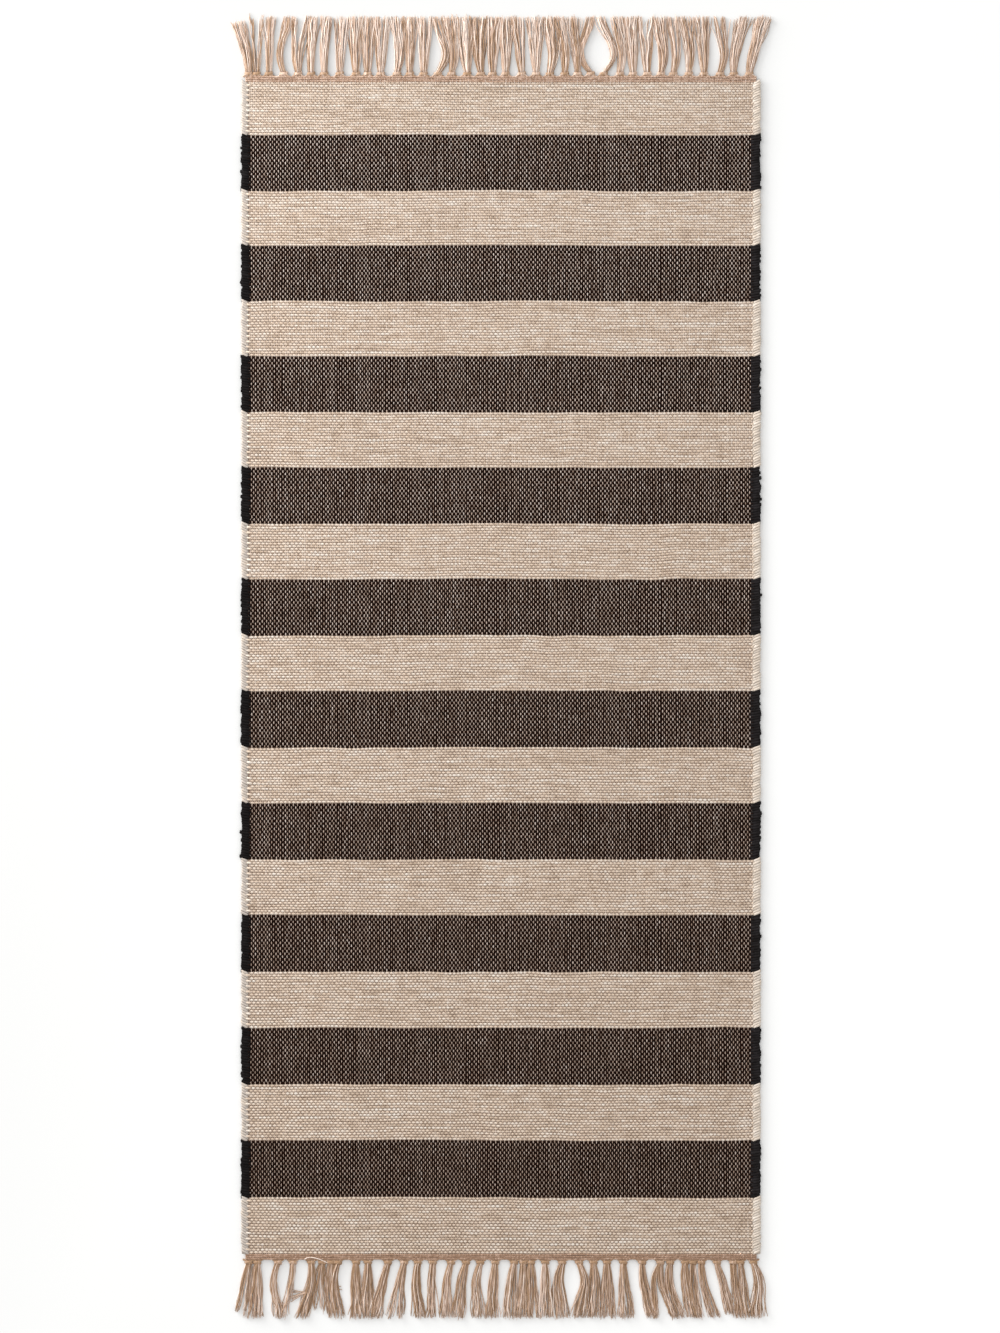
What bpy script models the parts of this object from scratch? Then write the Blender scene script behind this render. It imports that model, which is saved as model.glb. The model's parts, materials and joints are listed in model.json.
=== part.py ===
# Flat-woven runner rug, lying flat on Z = 0 with its length along Y.
#
# Warp yarns run the whole length and end in knotted tassels. Each colour band is one weft yarn
# woven back and forth round the warp, so every band is a sleeve with the warp layer inside it.
# A thicker cord stiffens each long edge, and a row of twining closes each end before the knots.
# The far end is at +Y. The rug folds over itself along one band boundary, the fold line.
# Metres, +Z up, origin at the centre of the underside.

import math

import bmesh
import bpy
from mathutils import Matrix

# Woven body
BAND_COUNT = 21
BAND_LENGTH = 0.086
RUG_WIDTH = 0.800
LIGHT_BAND_INSET = 0.001
CLOTH_THICKNESS = 0.0054
WARP_THICKNESS = 0.0012
FAR_HALF_BANDS = 11

# Long edges
EDGE_CORD_WIDTH = 0.0104
EDGE_CORD_THICKNESS = 0.0030
EDGE_WRAP = 0.0014

# Twined header at each end
HEADER_LENGTH = 0.007
HEADER_INSET = 0.0055
HEADER_RECESS = 0.0004

# Fringe
TASSEL_COUNT = 37
TASSEL_LENGTH = 0.090
TASSEL_FAN = 0.02
ROOT_WIDTH = 0.005
ROOT_MARGIN = 0.001
KNOT_START = 0.0008
KNOT_LENGTH = 0.0085
KNOT_WIDTH = 0.0092
KNOT_RECESS = 0.0003
NECK_WIDTH = 0.0056
NECK_THICKNESS = 0.0030
SKIRT_START = 0.030
SKIRT_WIDTH = 0.0090
SKIRT_THICKNESS = 0.0030
TIP_WIDTH = 0.0120
TIP_THICKNESS = 0.0024

# Gap kept between pieces that touch, and the number of straight steps in a half-round edge
CLEARANCE = 0.0003
EDGE_STEPS = 8
CORD_SEGMENTS = 12

MID_HEIGHT = CLOTH_THICKNESS / 2
BODY_HALF_LENGTH = BAND_COUNT * BAND_LENGTH / 2
FOLD_Y = BODY_HALF_LENGTH - FAR_HALF_BANDS * BAND_LENGTH
FOLD_Z = CLOTH_THICKNESS + CLEARANCE / 2
SLOT_HALF_HEIGHT = WARP_THICKNESS / 2 + CLEARANCE
POCKET_HALF_WIDTH = EDGE_CORD_WIDTH / 2 + CLEARANCE
POCKET_HALF_HEIGHT = EDGE_CORD_THICKNESS / 2 + CLEARANCE
EDGE_CORD_X = RUG_WIDTH / 2 - LIGHT_BAND_INSET - EDGE_WRAP - POCKET_HALF_WIDTH
WARP_HALF_WIDTH = EDGE_CORD_X - EDGE_CORD_WIDTH / 2 - CLEARANCE
HEADER_WIDTH = RUG_WIDTH - 2 * HEADER_INSET
TASSEL_PITCH = 2 * (WARP_HALF_WIDTH - ROOT_MARGIN - ROOT_WIDTH / 2) / (TASSEL_COUNT - 1)


def clear_scene():
    for obj in list(bpy.data.objects):
        bpy.data.objects.remove(obj, do_unlink=True)


def linear(hex_colour):
    """Linear RGBA of an sRGB hex colour."""
    channels = [int(hex_colour[i:i + 2], 16) / 255 for i in (0, 2, 4)]
    return [c / 12.92 if c <= 0.04045 else ((c + 0.055) / 1.055) ** 2.4 for c in channels] + [1.0]


def yarn_material(name, hex_colour, roughness):
    material = bpy.data.materials.new(name)
    material.use_nodes = True
    shader = material.node_tree.nodes["Principled BSDF"]
    shader.inputs["Base Color"].default_value = linear(hex_colour)
    shader.inputs["Roughness"].default_value = roughness
    shader.inputs["Metallic"].default_value = 0.0
    return material


def add_piece(name, bm, material, location, parent, turn=0.0):
    """Make an object from bm at a world location, turned about Z, under parent."""
    bmesh.ops.recalc_face_normals(bm, faces=bm.faces[:])
    mesh = bpy.data.meshes.new(name)
    bm.to_mesh(mesh)
    bm.free()
    mesh.materials.append(material)
    mesh.shade_smooth()
    mesh.set_sharp_from_angle(angle=math.radians(40))
    obj = bpy.data.objects.new(name, mesh)
    bpy.context.scene.collection.objects.link(obj)
    obj.parent = parent
    obj.location = [here - base for here, base in zip(location, parent.location)]
    obj.rotation_euler.z = turn
    return obj


def add_empty(name, location):
    empty = bpy.data.objects.new(name, None)
    empty.location = location
    bpy.context.scene.collection.objects.link(empty)
    return empty


def mirrored_arcs(centre_x, half_width, half_height, half_angle=math.pi / 2):
    """Closed (x, z) outline: an elliptical arc about (centre_x, 0), joined to its mirror image in X."""
    angles = [half_angle * (2 * step / EDGE_STEPS - 1) for step in range(EDGE_STEPS + 1)]
    right = [(centre_x + half_width * math.cos(a), half_height * math.sin(a)) for a in angles]
    left = [(-x, z) for x, z in reversed(right)]
    return right + left


def sleeve(outer, inner, length):
    """Hollow prism along Y between two (x, z) outlines with as many points each."""
    bm = bmesh.new()
    outer_verts = [bm.verts.new((x, -length / 2, z)) for x, z in outer]
    inner_verts = [bm.verts.new((x, -length / 2, z)) for x, z in inner]
    for i, outer_vert in enumerate(outer_verts):
        bm.faces.new((outer_vert, outer_verts[i - 1], inner_verts[i - 1], inner_verts[i]))
    swept = bmesh.ops.extrude_face_region(bm, geom=bm.faces[:])
    moved = [item for item in swept["geom"] if isinstance(item, bmesh.types.BMVert)]
    bmesh.ops.translate(bm, verts=moved, vec=(0, length, 0))
    return bm


def flat_tube_outline(width, thickness):
    """Flat top and bottom, half-round edges."""
    radius = thickness / 2
    return mirrored_arcs(width / 2 - radius, radius, radius)


def band_sleeve(inset):
    """One colour band: its slot for the warp layer widens to an oval pocket round each edge cord."""
    slot_meets_pocket = math.pi - math.asin(SLOT_HALF_HEIGHT / POCKET_HALF_HEIGHT)
    inner = mirrored_arcs(EDGE_CORD_X, POCKET_HALF_WIDTH, POCKET_HALF_HEIGHT, slot_meets_pocket)
    return sleeve(flat_tube_outline(RUG_WIDTH - 2 * inset, CLOTH_THICKNESS), inner, BAND_LENGTH - CLEARANCE)


def header_sleeve():
    """The twining that closes the last pick at one end, slightly thinner than the cloth."""
    outer = flat_tube_outline(HEADER_WIDTH, CLOTH_THICKNESS - 2 * HEADER_RECESS)
    inner = mirrored_arcs(WARP_HALF_WIDTH, SLOT_HALF_HEIGHT, SLOT_HALF_HEIGHT)
    return sleeve(outer, inner, HEADER_LENGTH - CLEARANCE)


def edge_cord(length):
    """Flat bundle of thicker warps along one long edge, running along +Y from its own origin."""
    bm = bmesh.new()
    bmesh.ops.create_cone(bm, cap_ends=True, segments=CORD_SEGMENTS, radius1=0.5, radius2=0.5, depth=length)
    bmesh.ops.rotate(bm, verts=bm.verts[:], matrix=Matrix.Rotation(math.pi / 2, 3, "X"))
    bmesh.ops.scale(bm, verts=bm.verts[:], vec=(EDGE_CORD_WIDTH, 1, EDGE_CORD_THICKNESS))
    bmesh.ops.translate(bm, verts=bm.verts[:], vec=(0, length / 2, 0))
    return bm


def tassel_sections():
    """Half width, half height, mid height and distance past the header, from the knot to the tip."""
    knot_half_height = MID_HEIGHT - KNOT_RECESS
    neck_half_height = NECK_THICKNESS / 2
    skirt_half_height = SKIRT_THICKNESS / 2
    tip_half_height = TIP_THICKNESS / 2
    knot_end = KNOT_START + KNOT_LENGTH
    return (
        (NECK_WIDTH / 2, neck_half_height, MID_HEIGHT, KNOT_START),
        (KNOT_WIDTH / 2, knot_half_height, MID_HEIGHT, KNOT_START + 0.35 * KNOT_LENGTH),
        (KNOT_WIDTH / 2, knot_half_height, MID_HEIGHT, KNOT_START + 0.65 * KNOT_LENGTH),
        (NECK_WIDTH / 2, neck_half_height, MID_HEIGHT, knot_end),
        (SKIRT_WIDTH / 2, skirt_half_height, skirt_half_height + CLEARANCE, SKIRT_START),
        (TIP_WIDTH / 2, tip_half_height, tip_half_height + CLEARANCE, TASSEL_LENGTH),
    )


def grow_tassel(bm, ring, centre_x, header_end):
    """Extend one six-sided ring, on the end of the warp layer, into a knot and a tassel.

    The tassels fan out, so that each one leans away from the middle in proportion to its place.
    """
    for half_width, half_height, height, reach in tassel_sections():
        z = height - MID_HEIGHT
        leaning_x = centre_x * (1 + TASSEL_FAN * reach / TASSEL_LENGTH)
        corners = (
            (-half_width, z), (-half_width / 2, z + half_height), (half_width / 2, z + half_height),
            (half_width, z), (half_width / 2, z - half_height), (-half_width / 2, z - half_height),
        )
        following = [bm.verts.new((leaning_x + x, header_end + reach, z)) for x, z in corners]
        for i, vert in enumerate(following):
            bm.faces.new((ring[i - 1], ring[i], vert, following[i - 1]))
        ring = following
    bm.faces.new(ring)


def warp_layer(body_length):
    """The warp inside the bands, from its own origin along +Y, with the tassels at the far end.

    The layer is a thin slab in strips, one strip in line with each tassel and one between each two.
    Each tassel grows out of the end of its own strip, where that has passed through the header.
    """
    header_end = body_length + HEADER_LENGTH
    centres = [TASSEL_PITCH * (i - (TASSEL_COUNT - 1) / 2) for i in range(TASSEL_COUNT)]
    roots = [x + side * ROOT_WIDTH / 2 for x in centres for side in (-1, 1)]
    edges = [-WARP_HALF_WIDTH] + roots + [WARP_HALF_WIDTH]
    bm = bmesh.new()
    start_top, start_bottom, end_top, end_bottom = (
        [bm.verts.new((x, y, z)) for x in edges]
        for y in (0.0, header_end) for z in (WARP_THICKNESS / 2, -WARP_THICKNESS / 2))
    for i in (0, -1):
        bm.faces.new((start_top[i], end_top[i], end_bottom[i], start_bottom[i]))
    middle = {i: bm.verts.new((x, header_end, 0.0)) for i, x in enumerate(roots, start=1)}
    for i in range(len(edges) - 1):
        bm.faces.new((start_top[i], start_top[i + 1], end_top[i + 1], end_top[i]))
        bm.faces.new((start_bottom[i + 1], start_bottom[i], end_bottom[i], end_bottom[i + 1]))
        bm.faces.new((start_top[i], start_bottom[i], start_bottom[i + 1], start_top[i + 1]))
        around = (middle.get(i), end_top[i], end_top[i + 1],
                  middle.get(i + 1), end_bottom[i + 1], end_bottom[i])
        ring = [vert for vert in around if vert is not None]
        if i % 2:
            grow_tassel(bm, ring, centres[i // 2], header_end)
        else:
            bm.faces.new(ring)
    return bm


def add_bands(far_half, near_half):
    """Light and dark bands by turns from the far end, the first and the last one light."""
    off_white = yarn_material("off_white_weft", "DBCBB6", 0.9)
    black = yarn_material("black_weft", "2B2522", 0.9)
    for index in range(BAND_COUNT):
        colour, material, inset = (
            ("dark", black, 0.0) if index % 2 else ("light", off_white, LIGHT_BAND_INSET))
        name = f"{colour}_band_{index // 2 + 1:02d}"
        centre_y = BODY_HALF_LENGTH - (index + 0.5) * BAND_LENGTH
        parent = far_half if index < FAR_HALF_BANDS else near_half
        add_piece(name, band_sleeve(inset), material, (0.0, centre_y, MID_HEIGHT), parent)


def add_half(end, side, parent):
    """Warp, edge cords and header from the fold line out to one end; side is 1 far and -1 near."""
    tan = yarn_material(f"tan_warp_{end}", "C6A88C", 0.85)
    turn = 0.0 if side > 0 else math.pi
    cut_y = FOLD_Y + side * CLEARANCE / 2
    body_length = BODY_HALF_LENGTH - side * cut_y
    add_piece(f"warp_{end}", warp_layer(body_length), tan, (0.0, cut_y, MID_HEIGHT), parent, turn)
    for edge, x in (("left", -EDGE_CORD_X), ("right", EDGE_CORD_X)):
        cord = edge_cord(body_length - CLEARANCE / 2)
        add_piece(f"edge_cord_{end}_{edge}", cord, tan, (x, cut_y, MID_HEIGHT), parent, turn)
    header_y = side * (BODY_HALF_LENGTH + HEADER_LENGTH / 2)
    add_piece(f"header_{end}", header_sleeve(), tan, (0.0, header_y, MID_HEIGHT), parent)


def build_rug():
    clear_scene()
    far_half = add_empty("far_half", (0.0, FOLD_Y, FOLD_Z))
    near_half = add_empty("near_half_on_fold_line", (0.0, FOLD_Y, FOLD_Z))
    add_bands(far_half, near_half)
    add_half("far", 1, far_half)
    add_half("near", -1, near_half)


build_rug()
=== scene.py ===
# Flat-woven runner rug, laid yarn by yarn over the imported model.
# Warps run along Y and end in the fringe. Picks of weft run along X, over and under the warps.

import math
import json

import bmesh
import bpy
import numpy as np
from mathutils import Matrix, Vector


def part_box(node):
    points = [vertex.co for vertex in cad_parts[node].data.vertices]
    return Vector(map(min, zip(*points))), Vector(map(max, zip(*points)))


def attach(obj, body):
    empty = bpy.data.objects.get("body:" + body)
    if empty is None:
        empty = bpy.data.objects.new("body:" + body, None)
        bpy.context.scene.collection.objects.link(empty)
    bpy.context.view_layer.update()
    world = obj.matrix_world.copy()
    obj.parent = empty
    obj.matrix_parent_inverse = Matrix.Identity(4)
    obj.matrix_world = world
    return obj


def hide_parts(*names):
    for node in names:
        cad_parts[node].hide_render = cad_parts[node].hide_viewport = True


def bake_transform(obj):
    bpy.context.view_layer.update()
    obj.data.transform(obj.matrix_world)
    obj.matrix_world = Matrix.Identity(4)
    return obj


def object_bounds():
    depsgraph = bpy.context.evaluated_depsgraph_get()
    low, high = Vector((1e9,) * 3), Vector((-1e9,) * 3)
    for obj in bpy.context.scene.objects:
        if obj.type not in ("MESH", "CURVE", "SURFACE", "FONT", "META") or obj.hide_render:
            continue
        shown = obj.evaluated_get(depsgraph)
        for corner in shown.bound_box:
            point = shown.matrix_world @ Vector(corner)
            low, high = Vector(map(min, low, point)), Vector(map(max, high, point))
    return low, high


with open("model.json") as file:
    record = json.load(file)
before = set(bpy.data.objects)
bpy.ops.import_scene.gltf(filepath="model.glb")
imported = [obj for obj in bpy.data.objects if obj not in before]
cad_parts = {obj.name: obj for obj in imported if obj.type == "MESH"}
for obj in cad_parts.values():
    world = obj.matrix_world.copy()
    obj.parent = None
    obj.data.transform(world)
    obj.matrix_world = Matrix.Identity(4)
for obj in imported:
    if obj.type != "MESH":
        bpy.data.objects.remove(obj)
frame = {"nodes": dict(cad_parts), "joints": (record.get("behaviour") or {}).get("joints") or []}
modelLow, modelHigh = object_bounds()
dice = np.random.default_rng(41)


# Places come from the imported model.
bands = sorted((name for name in frame["nodes"] if "_band_" in name), key=lambda name: -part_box(name)[1].y)
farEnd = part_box(bands[0])[1].y
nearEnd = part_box(bands[-1])[0].y
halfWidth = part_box("dark_band_01")[1].x
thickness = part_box("dark_band_01")[1].z
middle = thickness / 2
foldLine = frame["joints"][0]["pos_m"][1]
bendHalf = 0.006              # the cloth bends this far to each side of the fold
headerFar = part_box("header_far")[1].y
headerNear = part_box("header_near")[0].y
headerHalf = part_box("header_far")[1].x
fringeEnd = modelHigh.y


def linear(hexColour):
    channels = [int(hexColour[i:i + 2], 16) / 255 for i in (0, 2, 4)]
    return [c / 12.92 if c <= 0.04045 else ((c + 0.055) / 1.055) ** 2.4 for c in channels] + [1.0]


def drift(rows, columns, rowReach, columnReach):
    # smooth random field of about unit height, which changes over rowReach rows and columnReach columns
    coarse = dice.normal(0, 1, (int(rows / rowReach) + 3, int(columns / columnReach) + 3))
    for count, reach in ((rows, rowReach), (columns, columnReach)):
        place = np.arange(count) / reach
        knot = place.astype(int)
        share = (place - knot)[:, None]
        share = share * share * (3 - 2 * share)
        coarse = (coarse[knot] * (1 - share) + coarse[knot + 1] * share).T
    return coarse


def yarnMesh(yarns, sides, spread, twist, finish):
    # each yarn is its points, its radii and its tones; spread widens every yarn along Y
    curve = bpy.data.curves.new("yarns", "CURVE")
    curve.dimensions = "3D"
    curve.bevel_depth = 1.0
    curve.bevel_resolution = sides // 2 - 2
    curve.twist_mode = twist
    for points, radii, _ in yarns:
        spline = curve.splines.new("POLY")
        spline.points.add(len(points) - 1)
        places = np.ones((len(points), 4))
        places[:, :3] = points
        places[:, 1] /= spread
        spline.points.foreach_set("co", places.ravel())
        spline.points.foreach_set("radius", radii)
    holder = bpy.data.objects.new("yarns", curve)
    bpy.context.scene.collection.objects.link(holder)
    bpy.context.view_layer.update()
    mesh = bpy.data.meshes.new_from_object(holder.evaluated_get(bpy.context.evaluated_depsgraph_get()))
    bpy.data.objects.remove(holder)
    bpy.data.curves.remove(curve)
    mesh.transform(Matrix.Diagonal((1, spread, 1, 1)))
    mesh.polygons.foreach_set("material_index", [finish] * len(mesh.polygons))
    return mesh


def makePiece(name, layers, materials):
    # layers of yarns become one mesh, with its open ends filled and the yarns' tones kept
    bm = bmesh.new()
    tones = []
    for yarns, sides, spread, twist, finish in layers:
        mesh = yarnMesh(yarns, sides, spread, twist, finish)
        bm.from_mesh(mesh)
        bpy.data.meshes.remove(mesh)
        tones += [np.repeat(yarn[2], sides) for yarn in yarns]
    bmesh.ops.holes_fill(bm, edges=[edge for edge in bm.edges if edge.is_boundary], sides=0)
    mesh = bpy.data.meshes.new(name)
    bm.to_mesh(mesh)
    bm.free()
    return finishPiece(name, mesh, np.concatenate(tones), materials)


def finishPiece(name, mesh, tones, materials):
    for material in materials:
        mesh.materials.append(material)
    mesh.shade_smooth()
    places = np.zeros(len(mesh.vertices) * 3)
    mesh.vertices.foreach_get("co", places)
    mesh.attributes.new("clothPlace", "FLOAT_VECTOR", "POINT").data.foreach_set("vector", places)
    mesh.attributes.new("yarnTone", "FLOAT", "POINT").data.foreach_set("value", tones)
    places = places.reshape(-1, 3)
    flat = (places - places.min(0)) / (places.max(0) - places.min(0)).clip(1e-6)
    corners = np.zeros(len(mesh.loops), int)
    mesh.loops.foreach_get("vertex_index", corners)
    while mesh.uv_layers:
        mesh.uv_layers.remove(mesh.uv_layers[0])
    mesh.uv_layers.new(name="OFBake").data.foreach_set("uv", flat[corners, :2].ravel())
    piece = bpy.data.objects.new(name, mesh)
    bpy.context.scene.collection.objects.link(piece)
    return piece


def rideOrBend(piece):
    # a piece on one side of the fold rides with that half, and one that crosses it stays where it is
    low = min(vertex.co.y for vertex in piece.data.vertices)
    high = max(vertex.co.y for vertex in piece.data.vertices)
    if low > foldLine + bendHalf:
        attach(piece, "far_half")
    elif high < foldLine - bendHalf:
        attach(piece, "near_half")
    else:
        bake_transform(piece)


def addNode(tree, kind, settings=(), values=(), links=()):
    node = tree.nodes.new(kind)
    for key, value in dict(settings).items():
        setattr(node, key, value)
    for key, value in dict(values).items():
        node.inputs[key].default_value = value
    for key, socket in dict(links).items():
        tree.links.new(socket, node.inputs[key])
    return node


# What all the yarns share: plant and animal fibres bend light alike.
yarnFinish = {
    "ior": 1.45,
    "sheenRoughness": 0.6,
    "bumpDepth": 0.0004,
    "stops": (0.2, 0.5, 0.8),     # where a yarn is darkest, has its own colour and is lightest
}


def yarnMaterial(name, look):
    material = bpy.data.materials.new(name)
    material.use_nodes = True
    tree = material.node_tree
    shader = tree.nodes["Principled BSDF"]
    shader.inputs["Roughness"].default_value = look["roughness"]
    shader.inputs["IOR"].default_value = yarnFinish["ior"]
    shader.inputs["Specular IOR Level"].default_value = look["specular"]
    shader.inputs["Sheen Weight"].default_value = look["sheen"]
    shader.inputs["Sheen Roughness"].default_value = yarnFinish["sheenRoughness"]
    place = addNode(tree, "ShaderNodeAttribute", {"attribute_name": "clothPlace"})
    tone = addNode(tree, "ShaderNodeAttribute", {"attribute_name": "yarnTone"})
    streakPlace = addNode(tree, "ShaderNodeMapping", {}, {"Scale": [1 / size for size in look["streak"]]},
                          {"Vector": place.outputs["Vector"]})
    streak = addNode(tree, "ShaderNodeTexNoise", {}, {"Scale": 1.0, "Detail": 2.0},
                     {"Vector": streakPlace.outputs[0]})
    fibrePlace = addNode(tree, "ShaderNodeMapping", {},
                         {"Scale": [1 / size for size in look["fibre"]]}, {"Vector": place.outputs["Vector"]})
    fibre = addNode(tree, "ShaderNodeTexNoise", {}, {"Scale": 1.0, "Detail": 3.0, "Roughness": 0.6},
                    {"Vector": fibrePlace.outputs[0]})
    blend = addNode(tree, "ShaderNodeMath", {"operation": "ADD"}, {},
                    {0: tone.outputs["Fac"], 1: streak.outputs["Fac"]})
    ramp = addNode(tree, "ShaderNodeValToRGB", {}, {}, {"Fac": blend.outputs[0]})
    stops = ramp.color_ramp.elements
    stops[0].position = yarnFinish["stops"][0]
    stops[0].color = linear(look["dark"])
    stops[1].position = yarnFinish["stops"][2]
    stops[1].color = linear(look["light"])
    stops.new(yarnFinish["stops"][1]).color = linear(look["colour"])
    tree.links.new(ramp.outputs["Color"], shader.inputs["Base Color"])
    bump = addNode(tree, "ShaderNodeBump", {},
                   {"Strength": look["bump"], "Distance": yarnFinish["bumpDepth"]},
                   {"Height": fibre.outputs["Fac"]})
    tree.links.new(bump.outputs["Normal"], shader.inputs["Normal"])
    return material


# Off-white wool weft, soft-spun: matt and a little hairy, cream with the odd greyer length.
# Noise sizes are in metres: streaks follow a pick for a few centimetres, and fibres are under a millimetre.
offWhiteWool = yarnMaterial("offWhiteWoolWeft", {
    "colour": "D6C2AE", "dark": "B9A48F", "light": "E3D9CD",
    "roughness": 0.95, "specular": 0.15, "sheen": 0.1, "streak": (0.03, 0.004, 0.004),
    "fibre": (0.0012, 0.0006, 0.0006), "bump": 0.5})

# The same yarn where it wraps the long edges: pulled tight and rubbed, so a little greyer and plainer.
offWhiteEdge = yarnMaterial("offWhiteWoolEdgeWrap", {
    "colour": "CABCAD", "dark": "B7ADA4", "light": "D8CDC1",
    "roughness": 0.95, "specular": 0.12, "sheen": 0.05, "streak": (0.008, 0.012, 0.004),
    "fibre": (0.0012, 0.0006, 0.0006), "bump": 0.5})

# Black-dyed wool weft: brownish black and quite matt, so the pale warps stand out on it as dots.
blackWool = yarnMaterial("blackWoolWeft", {
    "colour": "1C0C06", "dark": "120703", "light": "25140E",
    "roughness": 0.95, "specular": 0.04, "sheen": 0.01, "streak": (0.03, 0.004, 0.004),
    "fibre": (0.0012, 0.0006, 0.0006), "bump": 0.5})

# Black wool where it wraps the edges: wound so close that no warp shows, which leaves it a neutral black.
blackEdge = yarnMaterial("blackWoolEdgeWrap", {
    "colour": "1E1B1B", "dark": "151212", "light": "272425",
    "roughness": 0.95, "specular": 0.05, "sheen": 0.01, "streak": (0.008, 0.012, 0.004),
    "fibre": (0.0012, 0.0006, 0.0006), "bump": 0.6})

# Undyed linen and cotton warp: tan with a pink cast and slightly glossy plies, so it catches light in dots.
tanWarp = yarnMaterial("tanLinenWarp", {
    "colour": "B5A091", "dark": "967F6E", "light": "D2C3B8",
    "roughness": 0.85, "specular": 0.25, "sheen": 0.1, "streak": (0.003, 0.05, 0.004),
    "fibre": (0.0006, 0.0012, 0.0006), "bump": 0.4})

# The same plies combed out at the ends: each a slightly different tan, browner in the shade of the bundle.
tanFringe = yarnMaterial("tanLinenFringe", {
    "colour": "D0B4A0", "dark": "A68567", "light": "EEDDD1",
    "roughness": 0.85, "specular": 0.25, "sheen": 0.1, "streak": (0.002, 0.02, 0.004),
    "fibre": (0.0006, 0.0012, 0.0006), "bump": 0.4})

# Matted warp fibre deep in the cloth, painted a dark brown: painted shade for the gaps between the yarns,
# where so little light gets down.
groundGapShade = yarnMaterial("paintedShadeGround", {
    "colour": "8F7867", "dark": "7A6453", "light": "A08B7A",
    "roughness": 0.95, "specular": 0.1, "sheen": 0.0, "streak": (0.004, 0.004, 0.004),
    "fibre": (0.0008, 0.0008, 0.0008), "bump": 0.4})

# Header twine: the same yarn, rubbed and a little redder.
tanHeader = yarnMaterial("tanLinenTwine", {
    "colour": "BC9C86", "dark": "A08069", "light": "D3B8A4",
    "roughness": 0.9, "specular": 0.2, "sheen": 0.1, "streak": (0.02, 0.002, 0.004),
    "fibre": (0.0012, 0.0006, 0.0006), "bump": 0.4})


# The loom sets where every warp crosses every pick.
loom = {
    "warps": 240,
    "picksPerBand": 21,
    "selvedge": 0.0136,       # width of the wrapped edge
    "pickRise": 0.0012,       # how far a pick's middle goes over and under the middle of the cloth
    "warpRise": 0.0011,
    "pickRadius": 0.00144,
    "pickSpread": 1.37,       # picks are beaten down to this many times their height
    "warpRadius": 0.00079,
    "creep": 0.0075,          # how far the middle bands crept towards the far end while they were beaten
    "creepRound": 0.6,        # below 1, the creep builds up quickly from both ends
    "headerReach": 0.002,     # how far each header covers the band beside it
    "heldLength": 0.05,       # beside a header the yarns lie straighter, over this length
    "heldLeast": 0.2,
    "clearance": 0.0002,      # left between a pick and the faces of the cloth
    "warpGaps": 0.09,         # how unevenly the warps are spaced
    # layers of unevenness: the height of each, and the picks and the warps over which it changes
    "warpAcross": ((0.00055, 22, 10), (0.00020, 3, 1)),
    "pickAlong": ((0.00016, 1, 9),),
    "rowsAlong": ((0.0007, 45, 36), (0.0004, 14, 12)),
    "pickHeight": ((0.00010, 1, 3),),
    "warpHeight": ((0.00006, 8, 1), (0.00005, 1, 1)),
    "pickThickness": ((0.06, 1, 4),),
    "warpThickness": ((0.03, 12, 1), (0.12, 1, 1)),
    "pickTones": ((0.07, 1, 30), (0.07, 1, 2)),
    "warpTones": ((0.03, 14, 1), (0.12, 1, 1)),
    "pickTone": 0.02,
    "warpTone": -0.02,
    "warpEndTone": 0.13,         # the warps are this much lighter towards the far end, and darker towards the near end
    "strips": 8,              # pieces that the warps are shared out over
}

picks = loom["picksPerBand"] * len(bands)
warps = loom["warps"]
weaveHalf = halfWidth - loom["selvedge"]
bandShare = np.linspace(0, 1, len(bands) + 1)
bandEdges = farEnd + (nearEnd - farEnd) * bandShare
bandEdges += loom["creep"] * np.sin(math.pi * bandShare).clip(0) ** loom["creepRound"]
bandEdges[0] -= loom["headerReach"]
bandEdges[-1] += loom["headerReach"]
gaps = 1 + loom["warpGaps"] * dice.normal(0, 1, warps - 1)
warpPlaces = np.concatenate(([0], np.cumsum(gaps)))
warpPlaces = (warpPlaces / warpPlaces[-1] * 2 - 1) * weaveHalf
pickPlaces = np.interp((np.arange(picks) + 0.5) / loom["picksPerBand"], np.arange(len(bands) + 1), bandEdges)


def uneven(base, layers):
    for height, rowReach, columnReach in layers:
        base = base + height * drift(picks, warps, rowReach, columnReach)
    return base


fromHeader = np.minimum(farEnd - pickPlaces, pickPlaces - nearEnd)
calm = np.clip(fromHeader / loom["heldLength"], loom["heldLeast"], 1)[:, None]
over = np.where((np.arange(picks)[:, None] + np.arange(warps)) % 2, 1.0, -1.0)
crossX = uneven(warpPlaces, loom["warpAcross"])
crossY = uneven(pickPlaces[:, None], loom["pickAlong"])
crossY += uneven(0, loom["rowsAlong"]) * calm
pickZ = uneven(middle + loom["pickRise"] * over, loom["pickHeight"])
warpZ = middle - loom["warpRise"] * over + uneven(0, loom["warpHeight"])
pickSize = loom["pickRadius"] * uneven(1, loom["pickThickness"])
warpSize = loom["warpRadius"] * uneven(1, loom["warpThickness"])
pickTone = uneven(0, loom["pickTones"]) + loom["pickTone"]
warpTone = uneven(0, loom["warpTones"])
warpTone += loom["warpEndTone"] * (pickPlaces / farEnd)[:, None] + loom["warpTone"]
pickZ = pickZ.clip(pickSize + loom["clearance"], thickness - loom["clearance"] - pickSize)


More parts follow.
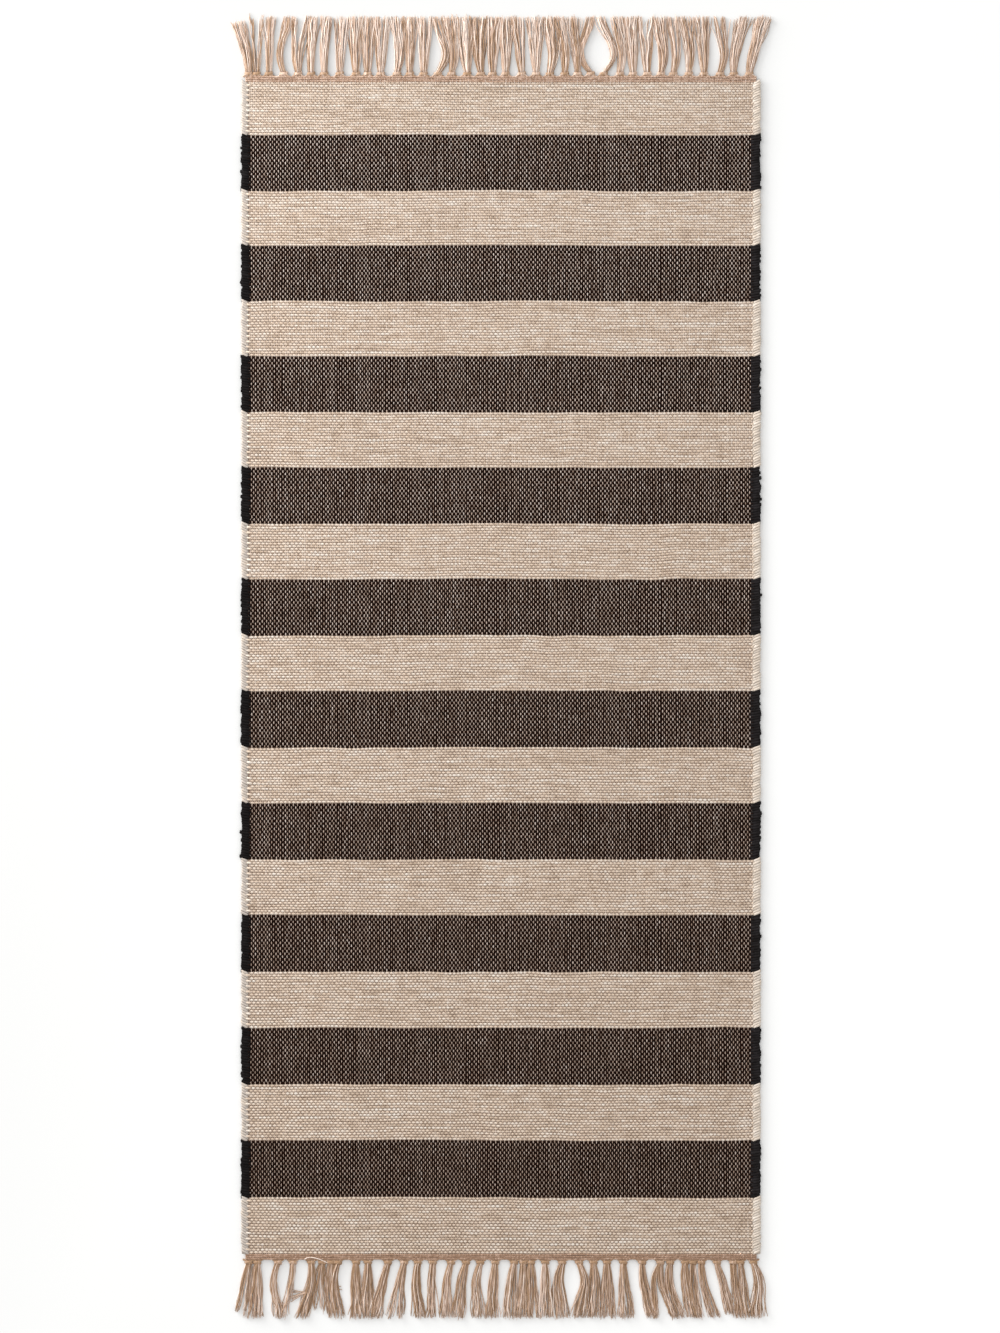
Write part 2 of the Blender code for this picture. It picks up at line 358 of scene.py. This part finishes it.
# At each long edge every pick wraps the bundle of edge warps before it turns back.
selvedge = {
    "wrapRadius": 0.00078,
    "wrapSpread": 3.3,        # wraps lie flat, this many times wider than high, and overlap
    "pointsPerTurn": 12,
    "slant": {"light": 0.0020, "black": 0.0007},      # how far a wrap climbs as it goes out to the edge
    "ragged": {"light": 0.0005, "black": 0.0009},     # how unevenly the wraps stand out along the edge
    # where the wraps start from the edge of the weave, and how far short of the rug's full width they stop
    "light": {-1: (0.0024, 0.0011), 1: (0.0006, 0.0012)},
    "black": {-1: (-0.0014, 0.0009), 1: (-0.0030, 0.0013)},
    # painted shade: the wraps on the left, the lamps' side, are painted darker, and those on the right a
    # little lighter
    "tone": {-1: -0.26, 1: 0.08},
    "innerRagged": 0.0005,
    "flat": (0.75, 0.6),      # powers below 1 square a turn off, across and in height
    "clearance": 0.0003,
    "thicknessUneven": 0.05,
    "toneUneven": 0.06,
    "pickTuck": 0.002,        # how far a pick runs on under its wrap
    "leftTuck": 0.0052,       # the same for a light pick on the left, thinned and slanted
    "leftTuckSlant": (0, 0.0012, 0.0002),
    "leftTuckThin": 0.85,
    "coreYarns": 5,
    "coreRadius": 0.0008,
    "coreInset": (0.0018, 0.0028),
    # painted shade: the core yarns are painted darker, for the shaded inside that shows between the wraps
    "coreShadeTone": -0.35,
}


def alongTurns(turn, amount):
    # one random value for each wrap
    count = loom["picksPerBand"] + 1
    return np.interp(turn, np.arange(count), dice.normal(0, amount, count))


def wrapYarn(side, band):
    shade = "black" if band % 2 else "light"
    steps = loom["picksPerBand"] * selvedge["pointsPerTurn"]
    turn = (np.arange(steps) + 0.5) / selvedge["pointsPerTurn"]
    wide = np.cos(2 * math.pi * turn)
    high = np.sin(2 * math.pi * turn)
    wide = np.sign(wide) * abs(wide) ** selvedge["flat"][0]
    high = np.sign(high) * abs(high) ** selvedge["flat"][1]
    inner = weaveHalf + selvedge[shade][side][0] + alongTurns(turn, selvedge["innerRagged"])
    outer = halfWidth - selvedge[shade][side][1] + alongTurns(turn, selvedge["ragged"][shade])
    x = (inner + outer) / 2 + (outer - inner) / 2 * wide
    z = middle + (middle - selvedge["clearance"] - selvedge["wrapRadius"]) * high
    y = np.interp(turn / loom["picksPerBand"], (0, 1), bandEdges[band:band + 2])
    y += selvedge["slant"][shade] * wide
    size = selvedge["wrapRadius"] * (1 + selvedge["thicknessUneven"] * dice.normal(0, 1, steps))
    # the tone for each side carries the painted shade on the left wraps
    tone = alongTurns(turn, selvedge["toneUneven"]) + selvedge["tone"][side]
    return np.column_stack((side * x, y, z)), size, tone


def pickYarn(pick, black):
    points = np.column_stack((crossX[pick], crossY[pick], pickZ[pick]))
    points = np.vstack((points[0], points, points[-1]))
    points[-1, 0] += selvedge["pickTuck"]
    points[0, 0] -= selvedge["pickTuck"] if black else selvedge["leftTuck"]
    sizes = np.pad(pickSize[pick], 1, "edge")
    if not black:
        points[0] += selvedge["leftTuckSlant"]
        sizes[0] *= selvedge["leftTuckThin"]
    return points, sizes, np.pad(pickTone[pick], 1, "edge")


# Colour bands: one piece each, its picks and its wrapped edges together.
def weaveBands():
    for band, node in enumerate(bands):
        black = band % 2
        first = band * loom["picksPerBand"]
        woven = [pickYarn(pick, black) for pick in range(first, first + loom["picksPerBand"])]
        wraps = [wrapYarn(side, band) for side in (-1, 1)]
        materials = [blackWool, blackEdge] if black else [offWhiteWool, offWhiteEdge]
        layers = [(woven, 4, loom["pickSpread"], "Z_UP", 0), (wraps, 4, selvedge["wrapSpread"], "MINIMUM", 1)]
        piece = makePiece("weft_" + node, layers, materials)
        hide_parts(node)
        rideOrBend(piece)


weaveBands()
print("colour bands woven:", len(bands), "with", picks, "picks")


# Warps, in strips from one header to the other.
def layWarps():
    for strip in range(loom["strips"]):
        yarns = []
        for warp in range(strip * warps // loom["strips"], (strip + 1) * warps // loom["strips"]):
            points = np.column_stack((crossX[:, warp], crossY[:, warp], warpZ[:, warp]))
            start = (points[0][0], headerFar, middle)
            stop = (points[-1][0], headerNear, middle)
            yarns.append((np.vstack((start, points, stop)), np.pad(warpSize[:, warp], 1, "edge"),
                          np.pad(warpTone[:, warp], 1, "edge")))
        piece = makePiece(f"warp_strip_{strip + 1}", [(yarns, 4, 1.0, "Z_UP", 0)], [tanWarp])
        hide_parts("warp_far", "warp_near")
        rideOrBend(piece)


layWarps()
print("warps laid:", warps)


# The thick warps inside each long edge, painted darker as painted shade inside the wraps.
def fillEdge(side, edge):
    cores = []
    for core in range(selvedge["coreYarns"]):
        share = (core + 0.5) / selvedge["coreYarns"]
        x = weaveHalf + selvedge["coreInset"][0] + (loom["selvedge"] - sum(selvedge["coreInset"])) * share
        points = np.column_stack((np.full(picks, side * x), pickPlaces, np.full(picks, middle)))
        cores.append((points, np.full(picks, selvedge["coreRadius"]), np.full(picks, selvedge["coreShadeTone"])))
    piece = makePiece("edge_bundle_" + edge, [(cores, 4, 1.0, "Z_UP", 0)], [tanWarp])
    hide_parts("edge_cord_far_" + edge, "edge_cord_near_" + edge)
    rideOrBend(piece)


fillEdge(-1, "left")
fillEdge(1, "right")


# Matted fibres in the middle of the cloth close the gaps between the yarns; in the light bands their dark
# brown is painted shade, seen through the gaps.
ground = {
    "underWraps": 0.004,      # how far it reaches in under the wrapped edges
    "inset": 0.002,           # how much shorter it is than the cloth with its headers
}
groundSize = (2 * (weaveHalf + ground["underWraps"]), headerFar - headerNear - ground["inset"])


def layGroundCloth():
    bm = bmesh.new()
    bmesh.ops.create_grid(bm, x_segments=4, y_segments=picks, size=0.5)
    bmesh.ops.scale(bm, vec=(*groundSize, 1), verts=bm.verts)
    bmesh.ops.translate(bm, vec=(0, (headerFar + headerNear) / 2, middle), verts=bm.verts)
    for face in bm.faces:
        band = np.searchsorted(-bandEdges, -face.calc_center_median().y) - 1
        face.material_index = band.clip(0, len(bands) - 1) % 2
    mesh = bpy.data.meshes.new("ground_cloth")
    bm.to_mesh(mesh)
    bm.free()
    tones = np.zeros(len(mesh.vertices))
    piece = finishPiece("ground_cloth", mesh, tones, [groundGapShade, blackWool])
    rideOrBend(piece)
    return piece


groundCloth = layGroundCloth()
print("edges filled and ground cloth laid")


# Rows of twining lock the last pick at each end.
header = {
    "rows": 3,
    "pairPitch": 0.0048,      # length of one full twist of a pair
    "radius": 0.00118,
    "pointsPerTwist": 6,
    "endInset": 0.002,
    "swing": (0.27, 0.0013),  # along the rug as a share of a row's height, and then up and down
    "rowWander": 0.0003,
    "thicknessUneven": 0.08,
    "toneUneven": (0.14, 0.1),
    "tone": {"far": 0.04, "near": -0.2},
}


def twineHeader(end, side, low, high):
    plies = []
    rowHeight = (high - low) / header["rows"]
    steps = int(2 * headerHalf / header["pairPitch"] * header["pointsPerTwist"])
    x = np.linspace(-headerHalf + header["endInset"], headerHalf - header["endInset"], steps)
    for row in range(header["rows"]):
        wave = header["rowWander"] * drift(steps, 1, 40, 1)[:, 0]
        for ply in (0, 1):
            angle = 2 * math.pi * x / header["pairPitch"] + math.pi * ply
            y = low + rowHeight * (row + 0.5)
            y = y + abs(rowHeight) * header["swing"][0] * np.cos(angle) * side + wave
            z = middle + header["swing"][1] * np.sin(angle)
            size = header["radius"] * (1 + header["thicknessUneven"] * dice.normal(0, 1, steps))
            tone = header["tone"][end] + header["toneUneven"][0] * drift(steps, 1, 5, 1)[:, 0]
            tone = tone + header["toneUneven"][1] * dice.normal(0, 1, steps)
            plies.append((np.column_stack((x, y, z)), size, tone))
    piece = makePiece("header_twine_" + end, [(plies, 4, 1.0, "Z_UP", 0)], [tanHeader])
    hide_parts("header_" + end)
    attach(piece, end + "_half")


twineHeader("far", 1, bandEdges[0], headerFar)
twineHeader("near", -1, bandEdges[-1], headerNear)
print("headers twined")


# Fringe: the warps, combed into strands and knotted in bunches.
fringe = {
    "strandRadius": 0.00062,
    "fullness": 1.15,         # strands for each one in the lists below
    "nearEndShade": -0.16,        # painted shade: the near end is darker, where the light falls off along the rug and the tassels lie denser
    "overhang": {"far": 0.0038, "near": 0.0012},
    # tassels from left to right, in mm: the knot's place, how far the tip and the middle swing to the right,
    # half the tip's width, and then the number of strands
    "far": (
        (-388, -17, 2, 7, 22), (-376, -1, 1, 9, 9), (-357, 3, 0, 5, 24), (-334, 7, -7, 5, 24),
        (-312, 4, -3, 9, 26), (-292, 2, -1, 6, 26), (-272, 4, -1, 7, 28), (-248, 4, 0, 8, 22),
        (-223, -1, 0, 11, 32), (-205, 1, 0, 9, 28), (-185, 2, 0, 10, 30), (-160, -2, 4, 9, 28),
        (-140, 0, 0, 9, 28), (-119, 3, 0, 9, 30), (-97, 0, 11, 9, 28), (-76, -1, 4, 10, 32),
        (-52, -3, -1, 12, 34), (-31, -1, -2, 11, 34), (-13, 1, 0, 10, 30), (7, 1, 0, 9, 28),
        (32, -7, 0, 8, 24), (54, -1, 0, 11, 28), (75, 0, 4, 9, 28), (98, -9, 3, 8, 28),
        (118, -9, 1, 8, 26), (138, 0, -14, 6, 26), (158, -6, 15, 5, 24), (183, -6, 4, 8, 28),
        (203, -3, 0, 10, 32), (225, -2, 0, 10, 26), (246, -4, 4, 9, 30), (265, 0, 4, 8, 24),
        (289, -7, 3, 10, 32), (312, -5, 0, 10, 32), (337, -1, 6, 6, 26), (358, 16, -2, 8, 28),
        (382, 20, 0, 9, 32)),
    "near": (
        (-388, -14, -1, 9, 16), (-375, -7, 0, 12, 38), (-343, 2, -6, 4, 22), (-320, -17, 2, 3, 14),
        (-292, -14, 4, 8, 30), (-275, -2, -2, 12, 16), (-262, 2, -2, 9, 16), (-251, -2, -6, 9, 24),
        (-223, 2, -1, 10, 36), (-205, 0, 0, 10, 36), (-174, -20, -2, 7, 28), (-149, -15, -2, 7, 26),
        (-128, 3, -3, 7, 26), (-105, -2, -1, 5, 24), (-77, -9, -3, 6, 26), (-54, -12, -3, 9, 28),
        (-32, -5, -5, 8, 26), (-9, -6, -1, 9, 30), (20, -6, -2, 10, 30), (34, -3, 0, 8, 22),
        (46, 1, 0, 10, 30), (68, 2, 0, 10, 32), (94, 0, -5, 9, 28), (120, 1, 8, 7, 30),
        (142, 0, 2, 10, 34), (163, 2, 0, 11, 34), (188, 3, 0, 10, 28), (217, 15, -2, 7, 28),
        (245, 6, -6, 12, 36), (260, 14, -4, 8, 26), (283, 12, -2, 9, 28), (295, 8, -1, 7, 20),
        (308, 20, -2, 6, 26), (332, 22, 2, 7, 26), (357, 8, 0, 5, 22), (368, 10, 1, 6, 22),
        (388, 6, 6, 9, 30)),
    "cutShort": {"far": {0: 0.92, 1: 1.03}, "near": {0: 0.88, 5: 0.86, 6: 0.93, 33: 0.94}},
    "parted": {"far": (1, 4, 29, 34), "near": (11, 28)},
    # yarns that came out of a knot: places across, along and up, in mm
    "loose": {"far": (), "near": (
        ((-302, -909, 4.7), (-297, -906, 4.9), (-290, -906, 4.9), (-281, -908, 4.9), (-272, -912, 4.6),
         (-262, -917, 3)),)},
    # bundles that left a tassel: start across and out from the header, run across and out, in mm, and strands
    "strays": {"far": (), "near": ((-297, 49, -34, 8, 7), (-297, 52, -28, -6, 3), (-262, 44, 20, 2, 3))},
}


knot = {
    "start": 0.0020,          # the warps draw together over this length before the knot
    "length": 0.0052,
    "halfWidth": 0.0056,
    "radius": 0.0014,
    "points": 22,
    "turns": 2.1,
    "taper": 0.12,            # how much narrower the first and last turns are
    "climb": (0.16, 0.62),    # shares of the length: where the turns begin, and how far they climb
    "slant": 0.10,
    "rise": 0.00125,
    "uneven": 0.05,
    # painted shade: the knots are painted darker than their strands
    "tone": (-0.16, 0.08),
}


def knotYarn(x, low, side, tone):
    steps = knot["points"]
    turn = np.linspace(0, knot["turns"], steps)
    wide = np.cos(2 * math.pi * turn)
    high = np.sin(2 * math.pi * turn)
    bulge = 1 - knot["taper"] * abs(turn / (knot["turns"] / 2) - 1)
    climb = knot["climb"][0] + knot["climb"][1] * turn / knot["turns"] + knot["slant"] * wide
    points = np.column_stack((
        x + knot["halfWidth"] * bulge * wide,
        low + side * (knot["start"] + knot["length"] * climb),
        middle + knot["rise"] * high))
    size = np.full(steps, knot["radius"]) * (1 + knot["uneven"] * dice.normal(0, 1, steps))
    return points, size, np.full(steps, tone + dice.normal(*knot["tone"]))


# The warps of one tassel, from their own places in the header to the knot.
gather = {
    "strands": 9,
    "halfWidth": 0.0088,
    "radius": 0.00095,
    # from inside the header to inside the knot: shares of the half width, ways out and heights
    "closing": (1.0, 0.96, 0.6, 0.3),
    "out": (-0.0015, 0.0002, 0.0020, 0.0050),
    "rise": (0, 0.00024, 0.00096, 0.00072),
    "riseUneven": 0.0002,
    "tone": (-0.14, 0.1),
}


def gatherYarns(x, low, side, tone):
    strands = []
    count = len(gather["out"])
    for place in np.linspace(-1, 1, gather["strands"]):
        points = np.column_stack((
            x + gather["halfWidth"] * np.array(gather["closing"]) * place,
            low + side * np.array(gather["out"]),
            middle + np.array(gather["rise"]) + gather["riseUneven"] * dice.normal(0, 1)))
        tones = np.full(count, tone + dice.normal(*gather["tone"]))
        strands.append((points, np.full(count, gather["radius"]), tones))
    return strands


# The loose ends below one knot. Pairs of numbers are the least and the most, or a mean and a spread,
# where no comment says otherwise.
tassel = {
    "points": 12,
    "pointPower": 1.1,        # above 1, a strand's points lie closer together near the knot
    "startInKnot": 0.002,
    "closed": 0.05,           # share of the length that stays closed
    "neck": 0.0040,           # half the width where the strands leave the knot
    "opening": 1.3,           # how many times the half width in the lists the tip opens to
    "earlyOpening": 0.6,      # share of the opening that comes soon after the knot
    "leanPower": 1.2,         # above 1, the lean comes more towards the tip
    "bowEarly": 0.3,          # above 0, the bow is widest nearer the knot
    "placeUneven": 0.08,
    "clumps": (2, 5),         # strands draw together in at least the first number and fewer than the second
    "clumping": (0.0, 0.4),
    "clumpSoon": 1.6,         # above 1, the clumps are drawn together before the tip
    "partedClumps": (-0.9, 0.9),
    "partedClumping": (0.85, 1.5),    # how far a parted tassel draws to its two sides, and by what power
    "straying": 0.0012,
    "farStraying": (0.26, 0.005),     # share of the strands that stray further, and how far
    "strayPower": 1.5,
    "strayShortens": 0.5,
    "waveHeight": (0.0005, 0.0025),
    "waves": (0.8, 2.4),
    "lengthUneven": 0.018,
    "floorGap": 0.0001,
    "startDrop": 0.0018,      # how far below the middle of the cloth the strands leave the knot
    "dropPower": 3,
    "pile": 0.0040,
    "pileSinks": 0.2,         # share of the pile's height that is gone at the tip
    "radiusUneven": (0.15, 0.06),     # from strand to strand, and along one
    "tipThin": 0.5,
    "tone": (0.04, 0.22),
    "toneAlong": 0.05,
    "knotShade": 0.12,        # how much darker the strands are next to the knot
}


def tasselYarns(style, low, side, length, parted, tone):
    x, lean, bow, spread = [value / 1000 for value in style[:4]]
    strands = []
    share = np.linspace(0, 1, tassel["points"]) ** tassel["pointPower"]
    start = abs(low) + knot["start"] + knot["length"] - tassel["startInKnot"]
    if parted:
        clumps = np.array(tassel["partedClumps"])
    else:
        clumps = dice.uniform(-1, 1, dice.integers(*tassel["clumps"]))
    opened = np.clip((share - tassel["closed"]) / (1 - tassel["closed"]), 0, 1)
    opening = tassel["earlyOpening"] * opened ** 0.5 + (1 - tassel["earlyOpening"]) * opened
    width = tassel["neck"] + (tassel["opening"] * spread - tassel["neck"]) * opening
    sway = lean * share ** tassel["leanPower"]
    sway = sway + bow * (np.sin(math.pi * share) + tassel["bowEarly"] * np.sin(2 * math.pi * share))
    lowest = fringe["strandRadius"] + tassel["floorGap"]
    fall = lowest + (middle - tassel["startDrop"] - lowest) * (1 - opened) ** tassel["dropPower"]
    count = int(style[4] * fringe["fullness"])
    places = np.linspace(-1, 1, count) + dice.normal(0, tassel["placeUneven"], count)
    for place in dice.permutation(places):
        clump = clumps[np.argmin(abs(clumps - place))]
        if parted:
            drawn = tassel["partedClumping"][0] * opened ** tassel["partedClumping"][1]
        else:
            drawn = dice.uniform(*tassel["clumping"]) * np.clip(opened * tassel["clumpSoon"], 0, 1)
        across = place * (1 - drawn) + clump * drawn
        stray = dice.normal(0, tassel["straying"])
        stray += dice.normal(0, tassel["farStraying"][1]) if dice.random() < tassel["farStraying"][0] else 0
        wave = dice.uniform(*tassel["waveHeight"]) * opened * np.sin(
            2 * math.pi * (share * dice.uniform(*tassel["waves"]) + dice.random()))
        reach = length * (1 + dice.normal(0, tassel["lengthUneven"])) - tassel["strayShortens"] * abs(stray)
        pile = tassel["pile"] * (1 - tassel["pileSinks"] * opened) * dice.uniform(0, 1)
        points = np.column_stack((
            x + sway + across * width + stray * opened ** tassel["strayPower"] + wave,
            side * (start + reach * share),
            fall + pile * np.cos(place)))
        size = fringe["strandRadius"] * (1 + dice.normal(0, tassel["radiusUneven"][0]))
        size = size * (1 + tassel["radiusUneven"][1] * dice.normal(0, 1, len(share)))
        size[-1] *= tassel["tipThin"]
        tones = tone + dice.normal(*tassel["tone"]) + tassel["toneAlong"] * dice.normal(0, 1, len(share))
        tones -= tassel["knotShade"] * (1 - opened) ** 2
        strands.append((points, size, tones))
    return strands


# Small bundles that left their tassel.
strayBundle = {
    "points": 7,
    "wander": 0.0016,
    "wanderBend": 2.2,
    "runShare": (0.7, 1.0),
    "kink": 0.0006,
    "tipHeight": 0.0012,
    "startRise": 0.0024,      # how much higher a bundle is at its start
    "riseShare": (0.4, 1),
    "thin": 0.85,
    "toneUneven": 0.15,
}


def strayYarns(stray, low, side, tone):
    strands = []
    count = strayBundle["points"]
    share = np.linspace(0, 1, count)
    for strand in range(stray[4]):
        shift, bend = dice.normal(0, strayBundle["wander"], 2) * (1, strayBundle["wanderBend"])
        run = stray[2] * share * dice.uniform(*strayBundle["runShare"])
        rise = strayBundle["startRise"] * (1 - share)
        points = np.column_stack((
            (stray[0] + run) / 1000 + strayBundle["kink"] * dice.normal(0, 1, count),
            low + side * ((stray[1] + stray[3] * share) / 1000 + shift + bend * share ** 2),
            strayBundle["tipHeight"] + rise * dice.uniform(*strayBundle["riseShare"], count)))
        size = np.full(count, strayBundle["thin"] * fringe["strandRadius"])
        strands.append((points, size, np.full(count, tone + dice.normal(0, strayBundle["toneUneven"]))))
    return strands


looseEnd = {
    "points": 12,
    "radius": 0.0007,
    "tone": 0.3,
}


def looseYarn(places):
    # one end that came out of its knot and lies in an arc over the header
    count = looseEnd["points"]
    share = np.linspace(0, len(places) - 1, count)
    x, y, z = [np.interp(share, range(len(places)), np.array(column) / 1000) for column in zip(*places)]
    return np.column_stack((x, y, z)), np.full(count, looseEnd["radius"]), np.full(count, looseEnd["tone"])


def combFringe(end, side, low):
    strands = []
    knots = []
    # the near end's strands, knots and strays carry the painted shade
    tone = fringe["nearEndShade"] if end == "near" else 0.0
    for number, style in enumerate(fringe[end]):
        knots.append(knotYarn(style[0] / 1000, low, side, tone))
        strands += gatherYarns(style[0] / 1000, low, side, tone)
        length = fringeEnd + fringe["overhang"][end] - abs(low) - knot["start"] - knot["length"]
        length *= fringe["cutShort"][end].get(number, 1.0)
        strands += tasselYarns(style, low, side, length, number in fringe["parted"][end], tone)
    for stray in fringe["strays"][end]:
        strands += strayYarns(stray, low, side, tone)
    strands += [looseYarn(places) for places in fringe["loose"][end]]
    piece = makePiece("fringe_" + end, [(strands, 4, 1.0, "Z_UP", 0), (knots, 6, 1.0, "MINIMUM", 0)],
                      [tanFringe])
    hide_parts("warp_" + end)
    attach(piece, end + "_half")


combFringe("far", 1, headerFar)
combFringe("near", -1, headerNear)
print("fringe combed:", len(fringe["far"]) + len(fringe["near"]), "tassels")


studio = {
    # the paper's colour at shares of the way from the lamps' side to the side away from them
    "floor": ((0.04, "FBFBFA"), (0.167, "C7C7C6"), (0.5, "EBEBEA"), (0.833, "FBFBFA")),
    "sky": 0.90,
    "key": 38.0,
    "keyPlace": (-2.4, 1.9, 1.65),
    "keySize": 1.8,
    "window": 200.0,
    "windowPlace": (-3.2, 2.2, 0.75),
    "windowSize": (3.0, 1.2),
    "lens": 85.0,
    "frameHeight": 2.051,     # metres of floor from the top to the bottom of the view
    "sensor": 36.0,
    "cameraPlace": (-0.0015, 0.0023),
    "floorHalf": 30.0,
    "shadeTurn": 33.7,        # degrees, clockwise from X, to the way in which the paper's colour changes
    "shadePerMetre": 0.28,    # shares that a metre of floor covers
    "shadeMiddle": 0.5,       # share at the middle of the rug
}


def paperMaterial():
    # white paper, evened out so that it reads the same near the lights and away from them
    paper = bpy.data.materials.new("whiteSeamlessPaper")
    paper.use_nodes = True
    tree = paper.node_tree
    shader = tree.nodes["Principled BSDF"]
    shader.inputs["Roughness"].default_value = 0.95
    shader.inputs["Specular IOR Level"].default_value = 0.0
    place = addNode(tree, "ShaderNodeTexCoord")
    turned = addNode(tree, "ShaderNodeMapping", {}, {
        "Rotation": (0, 0, math.radians(studio["shadeTurn"])), "Scale": [studio["shadePerMetre"]] * 3,
        "Location": (studio["shadeMiddle"], 0, 0)}, {"Vector": place.outputs["Object"]})
    along = addNode(tree, "ShaderNodeTexGradient", {}, {}, {"Vector": turned.outputs[0]})
    ramp = addNode(tree, "ShaderNodeValToRGB", {}, {}, {"Fac": along.outputs["Fac"]})
    ramp.color_ramp.elements.remove(ramp.color_ramp.elements[1])
    ramp.color_ramp.elements[0].color = linear(studio["floor"][0][1])
    for share, colour in studio["floor"]:
        ramp.color_ramp.elements.new(share).color = linear(colour)
    tree.links.new(ramp.outputs["Color"], shader.inputs["Base Color"])
    return paper


def addLamp(name, shape, size, power, place):
    lamp = bpy.data.lights.new(name, "AREA")
    lamp.shape = shape
    lamp.size = size[0]
    lamp.size_y = size[1]
    lamp.energy = power
    holder = bpy.data.objects.new(name, lamp)
    holder.location = place
    holder.rotation_euler = (-holder.location).to_track_quat("-Z", "Y").to_euler()
    bpy.context.scene.collection.objects.link(holder)


def buildStudio():
    bm = bmesh.new()
    bmesh.ops.create_grid(bm, x_segments=1, y_segments=1, size=studio["floorHalf"])
    mesh = bpy.data.meshes.new("studioFloor")
    bm.to_mesh(mesh)
    bm.free()
    mesh.materials.append(paperMaterial())
    floor = bpy.data.objects.new("studioFloor", mesh)
    bpy.context.scene.collection.objects.link(floor)

    world = bpy.data.worlds.new("softSky")
    world.use_nodes = True
    world.node_tree.nodes["Background"].inputs["Color"].default_value = (1, 1, 1, 1)
    world.node_tree.nodes["Background"].inputs["Strength"].default_value = studio["sky"]
    bpy.context.scene.world = world

    addLamp("softbox", "DISK", (studio["keySize"], studio["keySize"]), studio["key"], studio["keyPlace"])
    addLamp("window", "RECTANGLE", studio["windowSize"], studio["window"], studio["windowPlace"])

    lens = bpy.data.cameras.new("camera")
    lens.lens = studio["lens"]
    lens.sensor_width = studio["sensor"]
    camera = bpy.data.objects.new("camera", lens)
    camera.location = (*studio["cameraPlace"], studio["frameHeight"] * studio["lens"] / studio["sensor"])
    bpy.context.scene.collection.objects.link(camera)
    bpy.context.scene.camera = camera
    bpy.context.scene.view_settings.view_transform = "Standard"


buildStudio()
print("studio set")
